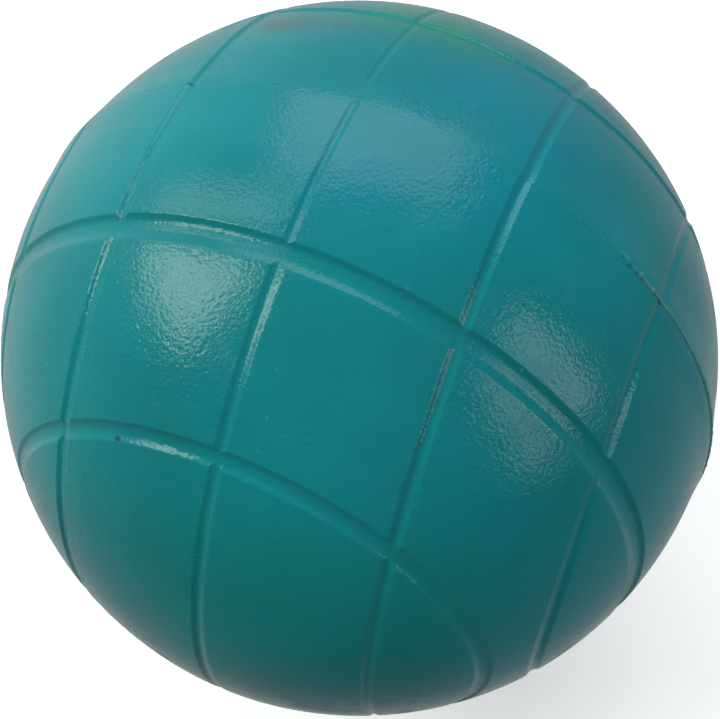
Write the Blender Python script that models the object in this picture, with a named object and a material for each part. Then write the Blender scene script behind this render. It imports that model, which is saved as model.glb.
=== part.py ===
"""Croquet ball: two grooved half shells welded round a solid core.

Metres, +Z up. The origin is the ball's centre and Y is the axis on which the two
halves come together, so the weld runs round the ball in the plane y = 0.
"""
import math

import bmesh
import bpy

# The ball's skin, measured from its centre.
EQUATOR_RADIUS = 0.04310
POLE_RADIUS = 0.04287
SEAM_SWELL_HEIGHT = 0.00033
SEAM_SWELL_SPREAD = 0.0018

# Grooves moulded into the skin. The ring grooves run round Y on both halves, and
# the side grooves run round X, over the weld. GROOVE_SOFTNESS widens the ring
# grooves' shape so that their lips round off.
GROOVE_HALF_WIDTH = 0.00115
GROOVE_DEPTH = 0.00050
GROOVE_SOFTNESS = 1.25
RING_GROOVE_OFFSETS = (0.0166, 0.0326)
SIDE_GROOVE_OFFSETS = (-0.0326, -0.0176, 0.0, 0.0176, 0.0326)

# Section of a side groove's cutter: share of the half width, then height over the
# skin. The outer points stand clear of the skin and the middle one is the bottom.
CUTTER_RISE = 0.0007
CUTTER_FLANK_DEPTH = 0.00037
SIDE_GROOVE_SECTION = (
    (-1.5, CUTTER_RISE),
    (-1.05, 0.0),
    (-0.55, -CUTTER_FLANK_DEPTH),
    (0.0, -GROOVE_DEPTH),
    (0.55, -CUTTER_FLANK_DEPTH),
    (1.05, 0.0),
    (1.5, CUTTER_RISE),
)

# The joint between the two halves.
CAVITY_RADIUS = 0.0376
GAP = 0.0003
TONGUE_OUTER_RADIUS = 0.0397
TONGUE_HEIGHT = 0.0028
JOINT_CHAMFER = 0.0004
WELD_HALF_WIDTH = 0.0011
WELD_ROOT_RADIUS = 0.0420
WELD_PROUD = 0.00012
WELD_FLAT_HALF_WIDTH = 0.00012

CORE_RADIUS = 0.0371

# How finely the round shapes are faceted. SEAM_RINGS are distances from the weld
# plane that get a ring of their own, and PLAIN_START and PLAIN_CLEAR keep the evenly
# spaced rings away from the weld and from the grooves, as angles.
SEAM_RINGS = (0.0028, 0.0044)
GROOVE_RING_SHARES = (-1.25, -0.6, 0.0, 0.6, 1.25)
PLAIN_START = 0.15
PLAIN_CLEAR = 0.06
SHELL_SEGMENTS = 48
SKIN_STEPS = 14
CAVITY_STEPS = 9
CORE_SEGMENTS = 36
CORE_STEPS = 18
CUTTER_SEGMENTS = 54

# Fixed turns that keep the facets' edges of the turned pieces and of the cutter
# from lying on one another, as shares of a facet.
PIECE_TURN = 0.5
CUTTER_TURN = 0.37
SMOOTH_ANGLE = 35.0

# Colours and roughness of the surfaces.
SHELL_ROUGHNESS = 0.20
WELD_ROUGHNESS = 0.30
CORE_ROUGHNESS = 0.85
FRONT_COLOUR = (0.004, 0.245, 0.260)
REAR_COLOUR = (0.004, 0.250, 0.268)
WELD_COLOUR = (0.012, 0.250, 0.262)
CORE_COLOUR = (0.36, 0.23, 0.12)


def clear_scene():
    """Remove whatever the new file starts with."""
    for thing in list(bpy.data.objects):
        bpy.data.objects.remove(thing, do_unlink=True)


def material(name, colour, roughness):
    """Return a plain Principled material."""
    made = bpy.data.materials.new(name)
    made.use_nodes = True
    shader = made.node_tree.nodes["Principled BSDF"]
    shader.inputs["Base Color"].default_value = (colour[0], colour[1], colour[2], 1.0)
    shader.inputs["Roughness"].default_value = roughness
    return made


def finish_object(name, bm, surface):
    """Turn a bmesh into a smooth, outward-facing object with one material."""
    bmesh.ops.recalc_face_normals(bm, faces=bm.faces)
    mesh = bpy.data.meshes.new(name)
    bm.to_mesh(mesh)
    bm.free()
    for face in mesh.polygons:
        face.use_smooth = True
    mesh.set_sharp_from_angle(angle=math.radians(SMOOTH_ANGLE))
    if surface is not None:
        mesh.materials.append(surface)
    made = bpy.data.objects.new(name, mesh)
    bpy.context.scene.collection.objects.link(made)
    return made


def turned(name, profile, segments, surface):
    """Turn a profile of (radius, y) points about Y; a radius of zero closes an end."""
    bm = bmesh.new()
    rings = []
    for radius, height in profile:
        if radius == 0.0:
            rings.append([bm.verts.new((0.0, height, 0.0))])
            continue
        ring = []
        for step in range(segments):
            angle = 2.0 * math.pi * (step + PIECE_TURN) / segments
            ring.append(bm.verts.new((radius * math.cos(angle), height, radius * math.sin(angle))))
        rings.append(ring)
    pairs = list(zip(rings[:-1], rings[1:]))
    if profile[0][0] != 0.0:
        pairs.append((rings[-1], rings[0]))
    for near, far in pairs:
        for step in range(segments):
            after = (step + 1) % segments
            corners = [near[step % len(near)], near[after % len(near)]]
            corners += [far[after % len(far)], far[step % len(far)]]
            bm.faces.new(list(dict.fromkeys(corners)))
    return finish_object(name, bm, surface)


def groove_shape(distance):
    """Depth of a groove at this distance along the skin from its middle."""
    share = min(abs(distance) / (GROOVE_SOFTNESS * GROOVE_HALF_WIDTH), 1.0)
    return GROOVE_DEPTH * (1.0 - share * share) ** 2


def skin_radius(latitude):
    """Distance of the skin from the centre at an angle from the weld plane."""
    across = math.cos(latitude) / EQUATOR_RADIUS
    along = math.sin(latitude) / POLE_RADIUS
    radius = 1.0 / math.hypot(across, along)
    from_seam = EQUATOR_RADIUS * latitude / SEAM_SWELL_SPREAD
    radius += SEAM_SWELL_HEIGHT * math.exp(-0.5 * from_seam * from_seam)
    for offset in RING_GROOVE_OFFSETS:
        middle = math.asin(offset / EQUATOR_RADIUS)
        radius -= groove_shape(EQUATOR_RADIUS * (latitude - middle))
    return radius


def skin_latitudes():
    """Angles of the skin's rings from the weld's edge to just short of the pole."""
    start = WELD_HALF_WIDTH + GAP
    angles = [distance / EQUATOR_RADIUS for distance in (start,) + SEAM_RINGS]
    grooves = [math.asin(offset / EQUATOR_RADIUS) for offset in RING_GROOVE_OFFSETS]
    for middle in grooves:
        for share in GROOVE_RING_SHARES:
            angles.append(middle + share * GROOVE_HALF_WIDTH / EQUATOR_RADIUS)
    for step in range(1, SKIN_STEPS):
        angle = 0.5 * math.pi * step / SKIN_STEPS
        clear = min(abs(angle - middle) for middle in grooves)
        if angle > PLAIN_START and clear > PLAIN_CLEAR:
            angles.append(angle)
    return sorted(angles)


def skin_profile(side):
    """Skin points from the pole to the edge of the weld."""
    points = [(0.0, side * skin_radius(0.5 * math.pi))]
    for latitude in reversed(skin_latitudes()):
        radius = skin_radius(latitude)
        points.append((radius * math.cos(latitude), side * radius * math.sin(latitude)))
    return points


def cavity_profile(side, start_height):
    """Inner wall points from a height above the weld plane to the inner pole."""
    first = math.asin(start_height / CAVITY_RADIUS)
    points = []
    for step in range(CAVITY_STEPS):
        latitude = first + (0.5 * math.pi - first) * step / CAVITY_STEPS
        radius = CAVITY_RADIUS * math.cos(latitude)
        points.append((radius, side * CAVITY_RADIUS * math.sin(latitude)))
    points.append((0.0, side * CAVITY_RADIUS))
    return points


def front_half_shell(surface):
    """Half shell on the -Y side, with the tongue that enters the other half."""
    face = 0.5 * GAP
    profile = skin_profile(-1.0)
    profile.append((WELD_ROOT_RADIUS - GAP, -face))
    profile.append((TONGUE_OUTER_RADIUS, -face))
    profile.append((TONGUE_OUTER_RADIUS, TONGUE_HEIGHT - JOINT_CHAMFER))
    profile.append((TONGUE_OUTER_RADIUS - JOINT_CHAMFER, TONGUE_HEIGHT))
    profile.append((CAVITY_RADIUS, TONGUE_HEIGHT))
    profile += cavity_profile(-1.0, face)
    return turned("front_half_shell", profile, SHELL_SEGMENTS, surface)


def rear_half_shell(surface):
    """Half shell on the +Y side, with the rebate that takes the tongue."""
    face = 0.5 * GAP
    rebate_radius = TONGUE_OUTER_RADIUS + GAP
    profile = skin_profile(1.0)
    profile.append((WELD_ROOT_RADIUS - GAP, face))
    profile.append((rebate_radius + JOINT_CHAMFER, face))
    profile.append((rebate_radius, face + JOINT_CHAMFER))
    profile.append((rebate_radius, TONGUE_HEIGHT + GAP))
    profile += cavity_profile(1.0, TONGUE_HEIGHT + GAP)
    return turned("rear_half_shell", profile, SHELL_SEGMENTS, surface)


def weld_bead(surface):
    """Ring of squeezed-out plastic that fills the V between the halves."""
    edge = skin_radius(WELD_HALF_WIDTH / EQUATOR_RADIUS)
    shoulder = skin_radius(0.5 * WELD_HALF_WIDTH / EQUATOR_RADIUS)
    crest = skin_radius(0.0) + WELD_PROUD
    profile = [
        (WELD_ROOT_RADIUS, -WELD_FLAT_HALF_WIDTH),
        (edge, -WELD_HALF_WIDTH),
        (shoulder, -0.5 * WELD_HALF_WIDTH),
        (crest, -WELD_FLAT_HALF_WIDTH),
        (crest, WELD_FLAT_HALF_WIDTH),
        (shoulder, 0.5 * WELD_HALF_WIDTH),
        (edge, WELD_HALF_WIDTH),
        (WELD_ROOT_RADIUS, WELD_FLAT_HALF_WIDTH),
    ]
    return turned("weld_bead", profile, SHELL_SEGMENTS, surface)


def core(surface):
    """Solid ball inside the shell."""
    profile = [(0.0, -CORE_RADIUS)]
    for step in range(1, CORE_STEPS):
        angle = math.pi * step / CORE_STEPS
        profile.append((CORE_RADIUS * math.sin(angle), -CORE_RADIUS * math.cos(angle)))
    profile.append((0.0, CORE_RADIUS))
    return turned("core", profile, CORE_SEGMENTS, surface)


def groove_section(offset):
    """Cutter section of one side groove, as (x, distance from the X axis) points."""
    ring = math.sqrt(EQUATOR_RADIUS ** 2 - offset ** 2)
    out_x = offset / EQUATOR_RADIUS
    out_r = ring / EQUATOR_RADIUS
    points = []
    for share, rise in SIDE_GROOVE_SECTION:
        along = share * GROOVE_HALF_WIDTH
        points.append((offset + out_x * rise + out_r * along, ring + out_r * rise - out_x * along))
    return points


def side_groove_cutter():
    """Five closed rings about X, one for each side groove."""
    bm = bmesh.new()
    for offset in SIDE_GROOVE_OFFSETS:
        section = groove_section(offset)
        rings = []
        for step in range(CUTTER_SEGMENTS):
            angle = 2.0 * math.pi * (step + CUTTER_TURN) / CUTTER_SEGMENTS
            ring = []
            for x, radius in section:
                ring.append(bm.verts.new((x, radius * math.cos(angle), radius * math.sin(angle))))
            rings.append(ring)
        for near, far in zip(rings, rings[1:] + rings[:1]):
            for index in range(len(section)):
                after = (index + 1) % len(section)
                bm.faces.new((near[index], near[after], far[after], far[index]))
    cutter = finish_object("side_groove_cutter", bm, None)
    cutter.hide_render = True
    cutter.display_type = "WIRE"
    return cutter


def cut_side_grooves(piece, cutter):
    """Cut the five side grooves into a piece of the skin."""
    cut = piece.modifiers.new("side_grooves", "BOOLEAN")
    cut.operation = "DIFFERENCE"
    cut.solver = "EXACT"
    cut.object = cutter


def build():
    """Make every piece of the ball."""
    clear_scene()
    front = front_half_shell(material("shell_front", FRONT_COLOUR, SHELL_ROUGHNESS))
    rear = rear_half_shell(material("shell_rear", REAR_COLOUR, SHELL_ROUGHNESS))
    bead = weld_bead(material("weld", WELD_COLOUR, WELD_ROUGHNESS))
    core(material("core", CORE_COLOUR, CORE_ROUGHNESS))
    cutter = side_groove_cutter()
    for piece in (front, rear, bead):
        cut_side_grooves(piece, cutter)


build()
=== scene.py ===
import math

import bpy
import numpy as np
from mathutils import Matrix, Vector


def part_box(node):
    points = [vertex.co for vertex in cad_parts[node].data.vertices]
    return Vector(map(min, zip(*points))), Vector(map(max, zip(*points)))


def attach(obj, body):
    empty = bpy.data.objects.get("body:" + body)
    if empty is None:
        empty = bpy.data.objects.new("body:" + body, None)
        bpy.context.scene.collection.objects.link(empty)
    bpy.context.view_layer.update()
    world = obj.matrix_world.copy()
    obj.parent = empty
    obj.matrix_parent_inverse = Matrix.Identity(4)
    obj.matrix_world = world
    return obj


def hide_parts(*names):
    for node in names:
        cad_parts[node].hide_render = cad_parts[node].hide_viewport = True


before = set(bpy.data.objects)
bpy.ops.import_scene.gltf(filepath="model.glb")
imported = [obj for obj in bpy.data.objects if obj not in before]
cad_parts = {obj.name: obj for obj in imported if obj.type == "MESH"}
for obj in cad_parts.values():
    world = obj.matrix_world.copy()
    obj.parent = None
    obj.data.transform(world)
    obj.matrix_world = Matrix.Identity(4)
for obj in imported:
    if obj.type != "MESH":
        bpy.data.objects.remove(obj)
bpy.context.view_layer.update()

VISUAL_SEED = 11

# Driving sizes, in metres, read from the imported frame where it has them. The ball is
# slightly flatter from pole to pole.
EQUATOR_PER_POLE = 1.0054
POLE_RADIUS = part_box("rear_half_shell")[1].y
EQUATOR_RADIUS = POLE_RADIUS * EQUATOR_PER_POLE
REST_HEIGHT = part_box("weld_bead")[0].z
CORE_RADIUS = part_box("core")[1].y
MM = 0.001

# The raised band along the joint, and the thin crest of flash on it.
SEAM_SWELL_HEIGHT = 0.33 * MM
SEAM_SWELL_SPREAD = 1.8 * MM

# Unevenness of the whole skin: number of waves, how close they lie, and height.
BROAD_WAVES = (24, 9.0, 0.020 * MM)
CLOSE_WAVES = (40, 26.0, 0.004 * MM)

# Stretches round the joint, as turns about Y in degrees: where the band is low, and
# where the flash stands tall. Each fades out over its reach.
SEAM_LOW_SHARE = 0.45
SEAM_LOW_MIDDLE = 100.0
SEAM_LOW_REACH = 48.0
TALL_MIDDLE = 14.0
TALL_REACH = 40.0

# Where the flash's root lies, and how far from the joint plane each skin ends.
WELD_ROOT_RADIUS = EQUATOR_RADIUS - 1.1 * MM
SHELL_EDGE = 0.06 * MM

# How finely each half shell is meshed. A ring of the skin has SECTORS more points
# than the one inside it, and the EXTRA values draw rings and points towards a groove
# or the joint, over a reach that is a share of the groove's width or a length.
SKIN_RINGS = 148
SECTORS = 8
EXTRA_AT_RING_GROOVE = 3.0
EXTRA_AT_TURN = 1.0
EXTRA_AT_SIDE_GROOVE = 2.0
EXTRA_AT_SEAM = 1.5
SEAM_REACH = 2.2 * MM
GROOVE_REACH = 0.65
SPACING_STEPS = 4001
CAVITY_RINGS = 10
CAVITY_POINT_EVERY = 8
SLOPE_STEP = 1.0e-4
HARD_EDGE_ANGLE = 40.0

# The joint faces inside the shell.
CAVITY_RADIUS = CORE_RADIUS + 0.5 * MM
TONGUE_OUTER_RADIUS = CORE_RADIUS + 2.6 * MM
TONGUE_HEIGHT = 2.8 * MM
FACE_GAP = 0.15 * MM

# Grooves: the axis their plane is square to, the plane's offset as a share of the
# equator radius, the width of the wall on the lower and on the higher side of that
# axis, the depth, both in millimetres, and the part of the half that they run over.
# The ring grooves near the joint are steeper on the joint's side.
FRONT_GROOVES = (
    ("x", -0.757, 0.90, 0.90, 0.26, "all"),
    ("x", -0.411, 0.80, 0.95, 0.29, "joint"),
    ("x", -0.411, 0.80, 0.95, 0.28, "pole"),
    ("x", 0.006, 0.50, 0.60, 0.13, "joint"),
    ("x", 0.006, 0.70, 0.75, 0.20, "pole"),
    ("x", 0.405, 0.75, 0.75, 0.22, "joint"),
    ("x", 0.405, 0.72, 0.75, 0.23, "pole"),
    ("x", 0.757, 0.85, 0.95, 0.20, "joint"),
    ("x", 0.757, 0.90, 0.95, 0.26, "pole"),
    ("y", -0.384, 1.70, 1.00, 0.38, "all"),
    ("y", -0.757, 1.10, 0.95, 0.28, "all"),
)
REAR_GROOVES = (
    ("x", -0.757, 0.90, 0.90, 0.26, "all"),
    ("x", -0.403, 0.80, 0.90, 0.25, "all"),
    ("x", 0.004, 0.45, 0.55, 0.07, "joint"),
    ("x", 0.000, 0.65, 0.65, 0.15, "pole"),
    ("x", 0.408, 0.75, 0.78, 0.22, "all"),
    ("x", 0.760, 0.85, 0.95, 0.24, "all"),
    ("y", 0.384, 0.75, 1.00, 0.26, "all"),
    ("y", 0.757, 1.00, 1.10, 0.28, "all"),
)

# Where one stretch of a side groove gives way to the next, and over how much of the
# radius.
RING_OFFSET = 0.384
CHANGEOVER = 0.02

# Section of a groove: a higher bottom value makes the floor flatter, and a higher lip
# value rounds the edges more. Crossing grooves join more abruptly when
# CROSSING_SHARPNESS is higher.
RING_BOTTOM = 2.8
RING_LIP = 1.50
SIDE_BOTTOM = 2.0
SIDE_LIP = 1.60
CROSSING_SHARPNESS = 4.0

# Points round the flash, and the share of the grooves' depth that it follows over its
# tall stretch.
BEAD_STEPS = 1440
FLASH_DIP = 0.45

# Torn spots in the flash: turn in degrees, spread in millimetres, and what they add to
# the factor on its height.
BURRS = (
    (48.8, 0.45, 1.7),
    (47.0, 0.25, 1.0),
    (45.9, 0.30, 1.3),
    (43.0, 0.25, 0.6),
)

# Section of the flash, as (along Y, height over the skin) points in millimetres, before
# the factors on its width and its height.
BEAD_ROOT = -1.00
BEAD_SECTION = (
    (-0.05, BEAD_ROOT),
    (-0.07, -0.55),
    (-0.34, -0.42),
    (-0.34, -0.03),
    (-0.29, 0.06),
    (-0.18, 0.13),
    (-0.06, 0.17),
    (0.06, 0.17),
    (0.18, 0.13),
    (0.29, 0.06),
    (0.34, -0.03),
    (0.34, -0.42),
    (0.07, -0.55),
    (0.05, BEAD_ROOT),
)

# Factor on the flash's height: the low part and how it varies, what the tall stretch
# adds, how rough the crest is, and the limits before that roughness. A noise holds the
# fewest and most waves round the ball and how many of them are summed.
FLASH_LOW = 0.04
FLASH_LOW_VARIES = 0.02
FLASH_LOW_NOISE = (3, 17, 8)
FLASH_TALL = 0.85
FLASH_TORN = 0.14
FLASH_TORN_NOISE = (90, 330, 24)
FLASH_LIMITS = (0.02, 1.1)

# How far the crest wanders along Y in millimetres, and where it bends over beside the
# first burr: degrees past it, then spread and distance in millimetres. The factor on
# the flash's width grows with its height between two limits. The root does neither.
WANDER = 0.05
WANDER_NOISE = (20, 120, 14)
BENT_CREST = (0.6, 0.35, 0.28)
FLASH_WIDTH = 0.28
FLASH_WIDENS = 0.66
FLASH_WIDTH_LIMITS = (0.25, 1.15)
ROOT_HALF_WIDTH = 0.07

# The plastic: linear colours, gloss, roughness, and its two sizes of fine dents, as
# how close they lie and how deep they are.
FRONT_BODY = (0.005, 0.228, 0.258)
REAR_BODY = (0.005, 0.230, 0.260)
FLASH_BODY = (0.005, 0.229, 0.259)
MOTTLE = 0.10
PLASTIC_GLOSS = 0.22
WORN_ROUGHNESS = (0.09, 0.17)
DULL_EXTRA = 0.13
PEEL_SCALE = 2700.0
PEEL_DEPTH = 0.045 * MM
SINK_SCALE = 420.0
SINK_DEPTH = 0.035 * MM
SUBSURFACE_SHARE = 0.10
SUBSURFACE_DEPTH = 0.0012

# Stains in the plastic, with painted reflections among them: the two greener streaks near
# the top edge and the paler green patch at the left edge. For each: direction from the centre,
# reach and softness in millimetres, squeeze along each axis, the most it covers, and its colour.
STAINS_AND_PAINTED_REFLECTIONS = (
    ((0.335, 0.180, 0.926), 9.0, 11.0, (1.0, 1.0, 1.0), 0.60, (0.006, 0.215, 0.330)),
    ((0.140, -0.120, 0.980), 7.0, 8.0, (0.7, 1.0, 1.0), 0.60, (0.006, 0.220, 0.330)),
    # Painted reflections: two greener streaks near the top edge, where green surroundings reflect.
    ((0.030, 0.370, 0.920), 2.4, 2.4, (0.30, 1.0, 1.0), 0.80, (0.012, 0.235, 0.140)),
    ((0.100, 0.480, 0.860), 2.6, 2.6, (0.26, 1.0, 1.0), 0.80, (0.015, 0.225, 0.140)),
    ((-0.290, 0.270, 0.920), 2.0, 2.2, (0.36, 1.0, 1.0), 1.00, (0.080, 0.130, 0.135)),
    ((-0.470, 0.200, 0.860), 1.8, 2.0, (0.60, 1.0, 1.0), 0.55, (0.050, 0.160, 0.170)),
    ((0.250, -0.955, 0.160), 18.0, 14.0, (1.0, 1.0, 1.0), 0.60, (0.006, 0.236, 0.212)),
    # Painted reflection: a paler green patch at the left edge, where the surroundings reflect.
    ((-0.860, -0.430, 0.260), 7.0, 7.0, (1.0, 1.0, 0.7), 0.60, (0.015, 0.250, 0.215)),
    ((-0.249, -0.768, 0.590), 0.34, 0.17, (0.6, 1.0, 1.0), 1.00, (0.020, 0.045, 0.020)),
)

# Brightness of the surroundings: even, and rising towards some directions, which are
# given as the camera sees them: to the right, up, and towards the camera.
SKY_COLOUR = (0.98, 1.0, 1.0, 1.0)
SKY_EVEN = 0.11
SKY_LOBES = (
    ((-1.0, 1.0, 0.0), 0.37),
    ((-1.0, 0.0, -1.0), 0.36),
    ((1.0, 0.0, -1.0), 0.27),
    ((0.0, 0.0, 1.0), 0.10),
    ((0.0, 1.0, 0.0), 0.20),
)

# The main window: its direction, its lean in degrees, and for each pane how far along
# the leaning line it stands, its length and its width, in metres.
LEFT_WINDOW = (-0.641, -0.377, 0.668)
LEFT_WINDOW_LEAN = -33.0
LEFT_PANES = (
    (-0.115, 0.63, 0.145),
    (0.045, 0.42, 0.135),
    (0.190, 0.19, 0.120),
)
LEFT_RADIANCE = 10.5
LEFT_COLOUR = (0.90, 1.0, 0.86)

# Other soft lights: name, direction, distance, width, height, radiance and colour.
WINDOWS = (
    ("left_upper", (-0.643, 0.018, 0.766), 0.9, 0.16, 0.66, 3.2, (0.94, 1.0, 1.0)),
    ("ceiling", (-0.130, 0.516, 0.846), 1.1, 0.95, 0.60, 2.6, (0.95, 1.0, 1.0)),
    ("right_upper", (0.901, 0.015, 0.433), 1.0, 0.20, 0.62, 3.7, (0.98, 0.97, 1.0)),
    ("right_lower", (0.882, -0.259, 0.393), 1.0, 0.22, 0.58, 2.8, (0.98, 0.97, 1.0)),
)

# The floor's half width in metres, its two greys, and how much it glows by itself.
FLOOR_REACH = 3.0
FLOOR_GREYS = (0.84, 0.86)
FLOOR_GLOW = 0.45

# The camera: angles in degrees, the ball's radius over the camera's distance from its
# centre, lens and sensor in millimetres, and shift as a share of the picture.
CAMERA_AZIMUTH = 24.16
CAMERA_ELEVATION = 55.62
CAMERA_LEAN = -1.4
CAMERA_CLOSENESS = 0.3
CAMERA_DISTANCE = 43.05 * MM / CAMERA_CLOSENESS
CAMERA_LENS = 57.1
CAMERA_SENSOR = 36.0
CAMERA_SHIFT = (0.0011, -0.0012)


# ---------------------------------------------------------------- skin shape

def unit(vectors):
    """Scale each row of an array to length one."""
    return vectors / np.linalg.norm(vectors, axis=1)[:, None]


def waves_over(directions, seed, waves, frequency, height):
    """Smooth unevenness over the ball: a sum of seeded waves through space."""
    rng = np.random.default_rng(seed)
    total = np.zeros(len(directions))
    for _ in range(waves):
        heading = rng.normal(size=3)
        heading *= frequency * rng.uniform(0.6, 1.4) / np.linalg.norm(heading)
        total += np.sin(directions @ heading + rng.uniform(0.0, 2.0 * math.pi))
    return total * height / math.sqrt(waves)


def off_groove(directions, axis, share):
    """Signed distance along the skin from a groove's middle line."""
    component = directions[:, 0] if axis == "x" else directions[:, 1]
    return EQUATOR_RADIUS * (np.arcsin(np.clip(component, -1.0, 1.0)) - math.asin(share))


def reach_of(directions, part):
    """One where a groove's stretch runs, changing over inside the first ring groove."""
    if part == "all":
        return np.ones(len(directions))
    past = np.clip((np.abs(directions[:, 1]) - RING_OFFSET) / CHANGEOVER + 0.5, 0.0, 1.0)
    return past if part == "pole" else 1.0 - past


def groove_depth(directions, grooves):
    """Depth of the grooves under each direction, with crossings joined softly."""
    total = np.zeros(len(directions))
    for axis, share, low_wall, high_wall, depth, part in grooves:
        distance = off_groove(directions, axis, share)
        across = distance / (np.where(distance < 0.0, low_wall, high_wall) * MM)
        bottom, lip = (RING_BOTTOM, RING_LIP) if axis == "y" else (SIDE_BOTTOM, SIDE_LIP)
        inside = np.clip(1.0 - np.abs(across) ** bottom, 0.0, 1.0)
        total += (depth * MM * reach_of(directions, part) * inside ** lip) ** CROSSING_SHARPNESS
    return total ** (1.0 / CROSSING_SHARPNESS)


def stretch(turn, middle, reach):
    """One over a stretch round the joint, fading to zero elsewhere."""
    away = np.degrees(np.angle(np.exp(1j * (turn - math.radians(middle)))))
    return np.exp(-(away / reach) ** 4)


def plain_radius(directions):
    """Distance from the centre to the skin as if it had no grooves."""
    flat = directions[:, 0] ** 2 + directions[:, 2] ** 2
    radius = 1.0 / np.sqrt(flat / EQUATOR_RADIUS ** 2 + directions[:, 1] ** 2 / POLE_RADIUS ** 2)
    from_seam = off_groove(directions, "y", 0.0) / SEAM_SWELL_SPREAD
    turn = np.arctan2(directions[:, 2], directions[:, 0])
    swell = 1.0 - (1.0 - SEAM_LOW_SHARE) * stretch(turn, SEAM_LOW_MIDDLE, SEAM_LOW_REACH)
    radius += SEAM_SWELL_HEIGHT * swell * np.exp(-0.5 * from_seam ** 2)
    radius += waves_over(directions, VISUAL_SEED, *BROAD_WAVES)
    return radius + waves_over(directions, VISUAL_SEED + 1, *CLOSE_WAVES)


def skin_radius(directions, grooves):
    """Distance from the centre to the skin along each unit direction."""
    return plain_radius(directions) - groove_depth(directions, grooves)


def skin_normals(directions, grooves):
    """Outward normals of the skin, from its slope in each direction."""
    slope = np.zeros_like(directions)
    for axis in range(3):
        step = np.zeros(3)
        step[axis] = SLOPE_STEP
        ahead = skin_radius(unit(directions + step), grooves)
        behind = skin_radius(unit(directions - step), grooves)
        slope[:, axis] = (ahead - behind) / (2.0 * SLOPE_STEP)
    radius = skin_radius(directions, grooves)
    return unit(directions - slope / radius[:, None])


# ---------------------------------------------------------------- half shells

def spaced(density, places, count):
    """Spread count + 1 places from first to last, closer where density is higher."""
    share = np.concatenate(([0.0], np.cumsum(0.5 * (density[1:] + density[:-1]))))
    return np.interp(np.linspace(0.0, share[-1], count + 1), share, places)


def near_groove(distance, low_wall, high_wall):
    """One across a groove, fading out past its walls."""
    return np.exp(-(distance / (GROOVE_REACH * (low_wall + high_wall) * MM)) ** 4)


def ring_latitudes(grooves):
    """Angles of the skin's rings, from the pole to the joint, closer at a groove."""
    steps = np.linspace(0.5 * math.pi, SHELL_EDGE / EQUATOR_RADIUS, SPACING_STEPS)
    density = 1.0 + EXTRA_AT_SEAM * np.exp(-(EQUATOR_RADIUS * steps / SEAM_REACH) ** 4)
    for axis, share, low_wall, high_wall, _, part in grooves:
        if part == "joint":
            continue
        middle = math.asin(abs(share)) if axis == "y" else math.acos(abs(share))
        closeness = EXTRA_AT_RING_GROOVE if axis == "y" else EXTRA_AT_TURN
        distance = EQUATOR_RADIUS * np.abs(steps - middle)
        density += closeness * near_groove(distance, low_wall, high_wall)
    return spaced(density, steps, SKIN_RINGS)


def ring_turns(latitude, count, grooves):
    """Angles of a ring's points round Y, closer together across the side grooves."""
    turns = np.linspace(0.0, 2.0 * math.pi, SPACING_STEPS)
    heights = np.full_like(turns, math.sin(latitude))
    flat = math.cos(latitude)
    directions = np.stack([flat * np.cos(turns), heights, flat * np.sin(turns)], axis=1)
    density = np.ones_like(turns)
    for axis, share, low_wall, high_wall, _, part in grooves:
        if axis == "x" and part != "joint":
            distance = np.abs(off_groove(directions, axis, share))
            density += EXTRA_AT_SIDE_GROOVE * near_groove(distance, low_wall, high_wall)
    return spaced(density, turns, count)[:-1]


def ring_directions(latitude, turns, side):
    """Unit directions at one angle from the joint plane and the given turns round Y."""
    flat = math.cos(latitude)
    height = np.full(len(turns), side * math.sin(latitude))
    return np.stack([flat * np.cos(turns), height, flat * np.sin(turns)], axis=1)


def skin_mesh(grooves, side):
    """Directions and faces of a cap whose ring i holds SECTORS times i points."""
    latitudes = ring_latitudes(grooves)
    directions = [np.array([[0.0, side, 0.0]])]
    starts = [0]
    total = 1
    for ring in range(1, SKIN_RINGS + 1):
        starts.append(total)
        turns = ring_turns(latitudes[ring], SECTORS * ring, grooves)
        directions.append(ring_directions(latitudes[ring], turns, side))
        total += SECTORS * ring
    faces = []
    for ring in range(1, SKIN_RINGS + 1):
        inner_count = max(SECTORS * (ring - 1), 1)
        faces += cap_faces(starts[ring - 1], inner_count, starts[ring], SECTORS * ring)
    return np.concatenate(directions), faces, starts[-1]


def cap_faces(inner, inner_count, outer, outer_count):
    """Faces between a ring and the next one out, which has SECTORS more points."""
    faces = []
    per_sector = outer_count // SECTORS
    for sector in range(SECTORS):
        for step in range(per_sector):
            a = outer + (sector * per_sector + step) % outer_count
            b = outer + (sector * per_sector + step + 1) % outer_count
            c = inner + (sector * (per_sector - 1) + step) % inner_count
            if step == per_sector - 1:
                faces.append((a, b, c))
                continue
            d = inner + (sector * (per_sector - 1) + step + 1) % inner_count
            faces.append((a, b, d, c))
    return faces


def joint_profile(side):
    """Points (radius, height) from the skin's edge through the joint to the cavity."""
    face = FACE_GAP
    if side < 0.0:
        return [
            (WELD_ROOT_RADIUS, -face),
            (TONGUE_OUTER_RADIUS, -face),
            (TONGUE_OUTER_RADIUS, TONGUE_HEIGHT),
            (CAVITY_RADIUS, TONGUE_HEIGHT),
            (CAVITY_RADIUS, -face),
        ]
    rebate = TONGUE_OUTER_RADIUS + 2.0 * FACE_GAP
    floor = TONGUE_HEIGHT + 2.0 * FACE_GAP
    return [
        (WELD_ROOT_RADIUS, face),
        (rebate, face),
        (rebate, floor),
        (math.sqrt(CAVITY_RADIUS ** 2 - floor ** 2), floor),
    ]


def joint_rings(side, turns):
    """Ring points of the joint faces, in line with the points of the skin's edge."""
    rings = []
    for radius, height in joint_profile(side):
        flat = radius * np.stack([np.cos(turns), np.zeros(len(turns)), np.sin(turns)], axis=1)
        rings.append(flat + np.array([0.0, height, 0.0]))
    return rings


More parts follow.
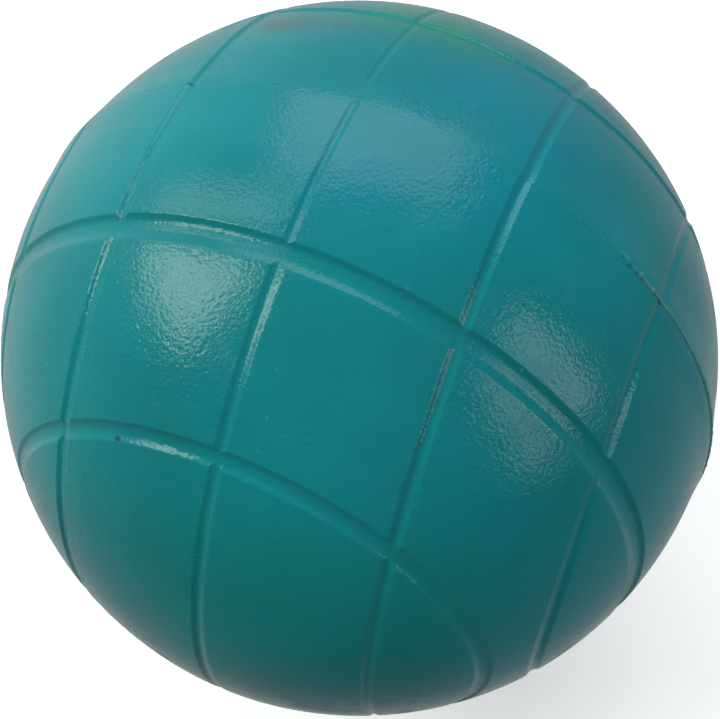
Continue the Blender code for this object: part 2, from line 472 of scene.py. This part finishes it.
def cavity_rings(side, start_height, turns):
    """Coarser rings of the cavity wall, ending with its pole."""
    first = math.asin(start_height / CAVITY_RADIUS)
    rings = []
    for step in range(1, CAVITY_RINGS):
        latitude = first + (0.5 * math.pi - first) * step / CAVITY_RINGS
        rings.append(CAVITY_RADIUS * ring_directions(latitude, turns, side))
    rings.append(np.array([[0.0, side * CAVITY_RADIUS, 0.0]]))
    return rings


def bridge(near, near_count, far, far_count):
    """Faces between two rings, where far_count divides near_count or is one."""
    faces = []
    if far_count == 1:
        for step in range(near_count):
            faces.append((near + step, near + (step + 1) % near_count, far))
        return faces
    share = near_count // far_count
    for step in range(far_count):
        fan = [near + (step * share + extra) % near_count for extra in range(share + 1)]
        faces.append(tuple(fan + [far + (step + 1) % far_count, far + step]))
    return faces


def half_shell(name, side, grooves, material):
    """One moulded half: fine skin outside, joint faces and cavity inside."""
    directions, faces, last = skin_mesh(grooves, side)
    points = [directions * skin_radius(directions, grooves)[:, None]]
    skin_faces = len(faces)
    edge = directions[last:]
    edge_turns = np.arctan2(edge[:, 2], edge[:, 0])
    last_count = len(edge)
    total = len(directions)
    start_height = abs(joint_profile(side)[-1][1])
    cavity_turns = edge_turns[::CAVITY_POINT_EVERY]
    rings = joint_rings(side, edge_turns) + cavity_rings(side, start_height, cavity_turns)
    for ring in rings:
        faces += bridge(last, last_count, total, len(ring))
        points.append(ring)
        last, last_count = total, len(ring)
        total += len(ring)
    if side > 0.0:
        faces = [face[::-1] for face in faces]
    mesh = bpy.data.meshes.new(name)
    mesh.from_pydata(np.concatenate(points).tolist(), [], faces)
    mesh.update()
    set_skin_normals(mesh, skin_normals(directions, grooves), skin_faces)
    mesh.materials.append(material)
    made = bpy.data.objects.new(name, mesh)
    bpy.context.scene.collection.objects.link(made)
    return made


def set_skin_normals(mesh, normals, skin_faces):
    """Shade the skin by its exact normals and leave the hidden faces to Blender."""
    loop_vertices = np.empty(len(mesh.loops), dtype=np.int64)
    mesh.loops.foreach_get("vertex_index", loop_vertices)
    totals = np.empty(len(mesh.polygons), dtype=np.int64)
    mesh.polygons.foreach_get("loop_total", totals)
    skin_loops = int(totals[:skin_faces].sum())
    mesh.polygons.foreach_set("use_smooth", np.ones(len(mesh.polygons), dtype=bool))
    mesh.set_sharp_from_angle(angle=math.radians(HARD_EDGE_ANGLE))
    per_loop = np.zeros((len(mesh.loops), 3))
    per_loop[:skin_loops] = normals[loop_vertices[:skin_loops]]
    mesh.normals_split_custom_set(per_loop.tolist())


# ---------------------------------------------------------------- weld bead

def ring_noise(turn, seed, lowest, highest, count):
    """Seeded unevenness round the ring, between two numbers of waves per turn."""
    rng = np.random.default_rng(seed)
    total = np.zeros_like(turn)
    for _ in range(count):
        waves = rng.integers(lowest, highest)
        total += np.sin(waves * turn + rng.uniform(0.0, 2.0 * math.pi))
    return total / math.sqrt(count)


def flash_height(turn):
    """Height of the flash round the ball: tallest on one side, almost none elsewhere."""
    low = FLASH_LOW + FLASH_LOW_VARIES * ring_noise(turn, VISUAL_SEED + 5, *FLASH_LOW_NOISE)
    rough = 1.0 + FLASH_TORN * ring_noise(turn, VISUAL_SEED + 6, *FLASH_TORN_NOISE)
    tall = FLASH_TALL * stretch(turn, TALL_MIDDLE, TALL_REACH)
    return np.clip(low + tall, *FLASH_LIMITS) * rough


def burr(turn, degrees, spread_mm, height):
    """A single torn spot in the flash."""
    away = np.angle(np.exp(1j * (turn - math.radians(degrees)))) * EQUATOR_RADIUS / MM
    return height * np.exp(-(away / spread_mm) ** 2)


def bead_ring(level, across, rise, radius, height, width, wander):
    """One point of the flash's section, carried round the ball."""
    if rise == BEAD_ROOT:
        reach = np.full(BEAD_STEPS, WELD_ROOT_RADIUS)
    else:
        reach = radius + (rise * height if rise > 0.0 else rise) * MM
    in_root = abs(across) <= ROOT_HALF_WIDTH and rise <= 0.0
    shift = np.full(BEAD_STEPS, across) if in_root else across * width + wander
    return np.stack([reach * level[:, 0], shift * MM, reach * level[:, 2]], axis=1)


def weld_bead(material):
    """Ring of squeezed-out plastic with a thin, slightly torn crest."""
    turn = 2.0 * math.pi * np.arange(BEAD_STEPS) / BEAD_STEPS
    level = np.stack([np.cos(turn), np.zeros(BEAD_STEPS), np.sin(turn)], axis=1)
    grooves = 0.5 * (groove_depth(level, FRONT_GROOVES) + groove_depth(level, REAR_GROOVES))
    dip = 1.0 - (1.0 - FLASH_DIP) * stretch(turn, TALL_MIDDLE, TALL_REACH)
    radius = plain_radius(level) - dip * grooves
    height = flash_height(turn)
    for degrees, spread_mm, extra in BURRS:
        height += burr(turn, degrees, spread_mm, extra)
    past, spread_mm, bend = BENT_CREST
    wander = WANDER * ring_noise(turn, VISUAL_SEED + 7, *WANDER_NOISE)
    wander += burr(turn, BURRS[0][0] + past, spread_mm, bend)
    width = np.clip(FLASH_WIDTH + FLASH_WIDENS * height, *FLASH_WIDTH_LIMITS)
    rings = []
    for across, rise in BEAD_SECTION:
        rings.append(bead_ring(level, across, rise, radius, height, width, wander))
    points = np.concatenate(rings)
    faces = []
    for index in range(len(rings)):
        near = index * BEAD_STEPS
        far = ((index + 1) % len(rings)) * BEAD_STEPS
        faces += bridge(near, BEAD_STEPS, far, BEAD_STEPS)
    mesh = bpy.data.meshes.new("weld_flash")
    mesh.from_pydata(points.tolist(), [], faces)
    mesh.update()
    mesh.polygons.foreach_set("use_smooth", np.ones(len(mesh.polygons), dtype=bool))
    mesh.materials.append(material)
    made = bpy.data.objects.new("weld_flash", mesh)
    bpy.context.scene.collection.objects.link(made)
    return made


# ---------------------------------------------------------------- materials

class Nodes:
    """Small helper that adds and links shader nodes in one material."""

    def __init__(self, name):
        self.material = bpy.data.materials.new(name)
        self.material.use_nodes = True
        self.tree = self.material.node_tree
        self.shader = self.tree.nodes["Principled BSDF"]

    def add(self, kind, inputs=None, **settings):
        """Add a node, set its properties, and set or link its inputs."""
        made = self.tree.nodes.new(kind)
        for key, value in settings.items():
            setattr(made, key, value)
        for key, value in (inputs or {}).items():
            self.feed(made, key, value)
        return made

    def feed(self, made, key, value):
        """Link an output into an input, or set the input's own value."""
        if isinstance(value, bpy.types.NodeSocket):
            self.tree.links.new(value, made.inputs[key])
        else:
            made.inputs[key].default_value = value

    def position(self):
        """Place on the object, in metres from the ball's centre."""
        return self.add("ShaderNodeTexCoord").outputs["Object"]

    def noise(self, scale, detail=2.0, roughness=0.5):
        """Noise between about 0.3 and 0.7."""
        inputs = {"Vector": self.position(), "Scale": scale, "Detail": detail, "Roughness": roughness}
        return self.add("ShaderNodeTexNoise", inputs).outputs["Fac"]

    def spread(self, value, low, high, to_low=0.0, to_high=1.0):
        """Map a value's range to another, smoothly and clamped."""
        inputs = {"Value": value, "From Min": low, "From Max": high, "To Min": to_low, "To Max": to_high}
        return self.add("ShaderNodeMapRange", inputs, interpolation_type="SMOOTHSTEP").outputs["Result"]

    def sum(self, first, second, operation="ADD"):
        """One arithmetic step on two values."""
        return self.add("ShaderNodeMath", {0: first, 1: second}, operation=operation).outputs["Value"]

    def cells(self, scale):
        """Round cells about scattered points."""
        inputs = {"Vector": self.position(), "Scale": scale}
        return self.add("ShaderNodeTexVoronoi", inputs, feature="F1")

    def bump(self, height, distance, strength=1.0):
        """Fine dents in the surface, as deep as the distance."""
        inputs = {"Height": height, "Strength": strength, "Distance": distance}
        return self.add("ShaderNodeBump", inputs)

    def mix(self, share, first, second):
        """Mix two colours by a share."""
        made = self.add("ShaderNodeMix", data_type="RGBA")
        self.feed(made, 0, share)
        self.feed(made, 6, first)
        self.feed(made, 7, second)
        return made.outputs[2]

    def patch(self, direction, reach, softness, squeeze=(1.0, 1.0, 1.0)):
        """One inside a patch on the ball about a direction, longer where it is squeezed."""
        middle = Vector(direction).normalized() * EQUATOR_RADIUS
        away = self.add("ShaderNodeVectorMath", {0: self.position(), 1: middle}, operation="SUBTRACT")
        away = self.add("ShaderNodeVectorMath", {0: away.outputs["Vector"], 1: squeeze}, operation="MULTIPLY")
        away = self.add("ShaderNodeVectorMath", {0: away.outputs["Vector"]}, operation="LENGTH")
        return self.spread(away.outputs["Value"], reach - softness, reach + softness, 1.0, 0.0)


def rgb(red, green, blue):
    """A colour socket's value from linear red, green and blue."""
    return (red, green, blue, 1.0)


def shell_colour(nodes, body):
    """Mottled teal with the stains, and the painted reflections at the top and left edges, on it."""
    broad = nodes.spread(nodes.noise(scale=38.0, detail=3.0, roughness=0.55), low=0.35, high=0.65)
    darker = rgb(*[(1.0 - MOTTLE) * channel for channel in body])
    paler = rgb(*[(1.0 + MOTTLE) * channel for channel in body])
    colour = nodes.mix(broad, darker, paler)
    # Stains, and painted reflections at the top and left edges.
    for direction, reach, softness, squeeze, share, stain_and_reflection_colour in STAINS_AND_PAINTED_REFLECTIONS:
        patch = nodes.patch(direction, reach * MM, softness * MM, squeeze)
        ragged = nodes.noise(scale=170.0, detail=4.0, roughness=0.6)
        ragged = nodes.spread(ragged, low=0.38, high=0.60, to_low=0.35 * share, to_high=share)
        colour = nodes.mix(nodes.sum(patch, ragged, "MULTIPLY"), colour, rgb(*stain_and_reflection_colour))
    return colour


def specked(nodes, colour):
    """A few dark specks, and pale dust that settled in patches."""
    specks = nodes.cells(scale=150.0).outputs["Distance"]
    speck = nodes.spread(specks, low=0.03, high=0.06, to_low=0.55, to_high=0.0)
    rare = nodes.spread(nodes.noise(scale=60.0, detail=1.0), low=0.60, high=0.64)
    colour = nodes.mix(nodes.sum(speck, rare, "MULTIPLY"), colour, rgb(0.010, 0.060, 0.060))
    dust = nodes.cells(scale=520.0).outputs["Distance"]
    grain = nodes.spread(dust, low=0.03, high=0.11, to_low=0.16, to_high=0.0)
    settled = nodes.spread(nodes.noise(scale=90.0, detail=3.0), low=0.50, high=0.62)
    return nodes.mix(nodes.sum(grain, settled, "MULTIPLY"), colour, rgb(0.250, 0.480, 0.470))


def shell_material(name, body):
    """Glossy moulded plastic: mottled teal, orange-peel skin, small specks."""
    nodes = Nodes(name)
    nodes.feed(nodes.shader, "Base Color", specked(nodes, shell_colour(nodes, body)))
    worn = nodes.noise(scale=55.0, detail=4.0, roughness=0.6)
    smoothest, roughest = WORN_ROUGHNESS
    worn = nodes.spread(worn, low=0.35, high=0.70, to_low=smoothest, to_high=roughest)
    dull = nodes.noise(scale=210.0, detail=3.0, roughness=0.6)
    dull = nodes.spread(dull, low=0.54, high=0.68, to_low=0.0, to_high=DULL_EXTRA)
    nodes.feed(nodes.shader, "Roughness", nodes.sum(worn, dull))
    nodes.shader.inputs["Specular IOR Level"].default_value = PLASTIC_GLOSS
    nodes.shader.inputs["Subsurface Weight"].default_value = SUBSURFACE_SHARE
    nodes.shader.inputs["Subsurface Scale"].default_value = SUBSURFACE_DEPTH
    peel = nodes.bump(nodes.noise(PEEL_SCALE, detail=1.5), PEEL_DEPTH)
    sink = nodes.bump(nodes.noise(SINK_SCALE), SINK_DEPTH)
    nodes.feed(sink, "Normal", peel.outputs["Normal"])
    nodes.feed(nodes.shader, "Normal", sink.outputs["Normal"])
    return nodes.material


def flash_material(name):
    """The same plastic where it was squeezed out: paler, duller and rougher."""
    nodes = Nodes(name)
    streak = nodes.spread(nodes.noise(scale=400.0, detail=3.0, roughness=0.6), low=0.35, high=0.65)
    colour = nodes.mix(streak, rgb(0.045, 0.225, 0.235), rgb(0.095, 0.275, 0.270))
    tall_turn = math.radians(TALL_MIDDLE)
    tall_middle = (math.cos(tall_turn), 0.0, math.sin(tall_turn))
    tall = nodes.patch(tall_middle, reach=24.0 * MM, softness=4.0 * MM)
    colour = nodes.mix(tall, rgb(*FLASH_BODY), colour)
    nodes.feed(nodes.shader, "Base Color", colour)
    dull = nodes.spread(nodes.noise(scale=900.0), low=0.3, high=0.7, to_low=0.10, to_high=0.30)
    nodes.feed(nodes.shader, "Roughness", nodes.sum(nodes.sum(tall, dull, "MULTIPLY"), 0.12))
    nodes.shader.inputs["Specular IOR Level"].default_value = PLASTIC_GLOSS
    torn = nodes.noise(scale=2600.0, detail=3.0, roughness=0.6)
    bump = nodes.bump(torn, 0.03 * MM, strength=0.6)
    nodes.feed(nodes.shader, "Normal", bump.outputs["Normal"])
    return nodes.material


def core_material(name):
    """Matt tan filled plastic with paler and darker grains."""
    nodes = Nodes(name)
    grains = nodes.cells(scale=420.0)
    tone = nodes.spread(grains.outputs["Color"], low=0.1, high=0.9)
    colour = nodes.mix(tone, rgb(0.20, 0.12, 0.06), rgb(0.46, 0.30, 0.16))
    nodes.feed(nodes.shader, "Base Color", colour)
    matt = nodes.spread(nodes.noise(scale=500.0), low=0.3, high=0.7, to_low=0.75, to_high=0.95)
    nodes.feed(nodes.shader, "Roughness", matt)
    bump = nodes.bump(grains.outputs["Distance"], 0.2 * MM, strength=0.6)
    nodes.feed(nodes.shader, "Normal", bump.outputs["Normal"])
    return nodes.material


# ---------------------------------------------------------------- stage and light

def facing_matrix(place, target, turn):
    """A matrix at a place whose -Z looks at a target, turned about that line."""
    look = (target - place).to_track_quat("-Z", "Y").to_matrix().to_4x4()
    return Matrix.Translation(place) @ look @ Matrix.Rotation(turn, 4, "Z")


def view_matrix():
    """The camera's place and its right, up and back directions."""
    azimuth = math.radians(CAMERA_AZIMUTH)
    elevation = math.radians(CAMERA_ELEVATION)
    flat = math.cos(elevation)
    back = Vector((math.sin(azimuth) * flat, -math.cos(azimuth) * flat, math.sin(elevation)))
    centre = Vector((0.0, 0.0, 0.0))
    return facing_matrix(back * CAMERA_DISTANCE, centre, math.radians(CAMERA_LEAN))


def floor():
    """A large pale floor under the ball, which is left out of the ball's gloss."""
    mesh = bpy.data.meshes.new("floor")
    signs = ((-1.0, -1.0), (1.0, -1.0), (1.0, 1.0), (-1.0, 1.0))
    corners = [(x * FLOOR_REACH, y * FLOOR_REACH, REST_HEIGHT) for x, y in signs]
    mesh.from_pydata(corners, [], [(0, 1, 2, 3)])
    nodes = Nodes("floor")
    grain = nodes.spread(nodes.noise(scale=90.0, detail=3.0), low=0.3, high=0.7)
    darker, paler = [rgb(grey, grey, grey) for grey in FLOOR_GREYS]
    nodes.feed(nodes.shader, "Base Color", nodes.mix(grain, darker, paler))
    nodes.shader.inputs["Roughness"].default_value = 0.9
    nodes.shader.inputs["Emission Color"].default_value = rgb(1.0, 1.0, 1.0)
    nodes.shader.inputs["Emission Strength"].default_value = FLOOR_GLOW
    mesh.materials.append(nodes.material)
    made = bpy.data.objects.new("floor", mesh)
    made.visible_glossy = False
    made.visible_diffuse = False
    bpy.context.scene.collection.objects.link(made)


def sky_step(tree, operation, first, second):
    """One arithmetic step on two values in the world's nodes."""
    made = tree.nodes.new("ShaderNodeMath")
    made.operation = operation
    for index, value in enumerate((first, second)):
        if isinstance(value, bpy.types.NodeSocket):
            tree.links.new(value, made.inputs[index])
        else:
            made.inputs[index].default_value = value
    return made.outputs["Value"]


def sky_lobe(tree, direction, strength):
    """Brightness of the world that falls off smoothly from one direction."""
    coordinate = tree.nodes.new("ShaderNodeTexCoord")
    towards = tree.nodes.new("ShaderNodeVectorMath")
    towards.operation = "DOT_PRODUCT"
    tree.links.new(coordinate.outputs["Generated"], towards.inputs[0])
    towards.inputs[1].default_value = Vector(direction).normalized()
    lit = sky_step(tree, "MAXIMUM", towards.outputs["Value"], 0.0)
    squared = sky_step(tree, "MULTIPLY", lit, lit)
    return sky_step(tree, "MULTIPLY", squared, strength)


def surroundings():
    """A soft studio: dim all round, brighter from the left and from behind."""
    world = bpy.data.worlds.new("studio")
    world.use_nodes = True
    tree = world.node_tree
    background = tree.nodes["Background"]
    background.inputs["Color"].default_value = SKY_COLOUR
    total = tree.nodes.new("ShaderNodeValue").outputs[0]
    total.default_value = SKY_EVEN
    view = view_matrix().to_3x3()
    for direction, strength in SKY_LOBES:
        lobe = sky_lobe(tree, view @ Vector(direction), strength)
        total = sky_step(tree, "ADD", total, lobe)
    tree.links.new(total, background.inputs["Strength"])
    bpy.context.scene.world = world


def left_window():
    """The main window: three leaning panes, each shorter than the one before."""
    middle = Vector(LEFT_WINDOW).normalized()
    right = Vector((0.0, 0.0, 1.0)).cross(middle).normalized()
    up = middle.cross(right)
    lean = math.radians(LEFT_WINDOW_LEAN)
    across = right * math.cos(lean) + up * math.sin(lean)
    for index, (offset, length, width) in enumerate(LEFT_PANES):
        place = middle + across * offset
        name = f"left_window_{index}"
        data = area_light(name, width, length, LEFT_RADIANCE, LEFT_COLOUR)
        set_light(name, data, place, middle, lean)


def area_light(name, width, height, radiance, colour):
    """Light data for a rectangle of an even brightness."""
    data = bpy.data.lights.new(name, "AREA")
    data.shape = "RECTANGLE"
    data.size = width
    data.size_y = height
    data.energy = radiance * math.pi * width * height
    data.color = colour
    return data


def set_light(name, data, place, facing, turn=0.0):
    """Place a light whose back is towards a direction, turned about that line."""
    light = bpy.data.objects.new(name, data)
    light.matrix_world = facing_matrix(place, place - facing, turn)
    bpy.context.scene.collection.objects.link(light)


def window(name, direction, distance, width, height, radiance, colour):
    """A rectangular soft light that faces the ball."""
    data = area_light(name, width, height, radiance, colour)
    facing = Vector(direction).normalized()
    set_light(name, data, facing * distance, facing)


def lights():
    """Window light from the left, a broad one overhead, and two on the right."""
    left_window()
    for settings in WINDOWS:
        window(*settings)


def camera():
    """The view from above the front half, close to the ball."""
    data = bpy.data.cameras.new("camera")
    data.lens = CAMERA_LENS
    data.sensor_width = CAMERA_SENSOR
    data.clip_start = 0.01
    data.shift_x, data.shift_y = CAMERA_SHIFT
    made = bpy.data.objects.new("camera", data)
    made.matrix_world = view_matrix()
    bpy.context.scene.collection.objects.link(made)
    bpy.context.scene.camera = made


# ---------------------------------------------------------------- assembly

def assemble():
    """Put the detailed pieces in place of the plain ones."""
    front_plastic = shell_material("teal_plastic_front", FRONT_BODY)
    rear_plastic = shell_material("teal_plastic_rear", REAR_BODY)
    front = half_shell("front_skin", -1.0, FRONT_GROOVES, front_plastic)
    rear = half_shell("rear_skin", 1.0, REAR_GROOVES, rear_plastic)
    bead = weld_bead(flash_material("weld_flash"))
    for piece, node, slot in (
        (front, "front_half_shell", "shell_front"),
        (rear, "rear_half_shell", "shell_rear"),
        (bead, "weld_bead", "weld"),
    ):
        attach(piece, "root")
        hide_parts(node)
    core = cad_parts["core"]
    core.data.materials.clear()
    core.data.materials.append(core_material("core_plastic"))


assemble()
floor()
surroundings()
lights()
camera()
bpy.context.scene.view_settings.view_transform = "Standard"
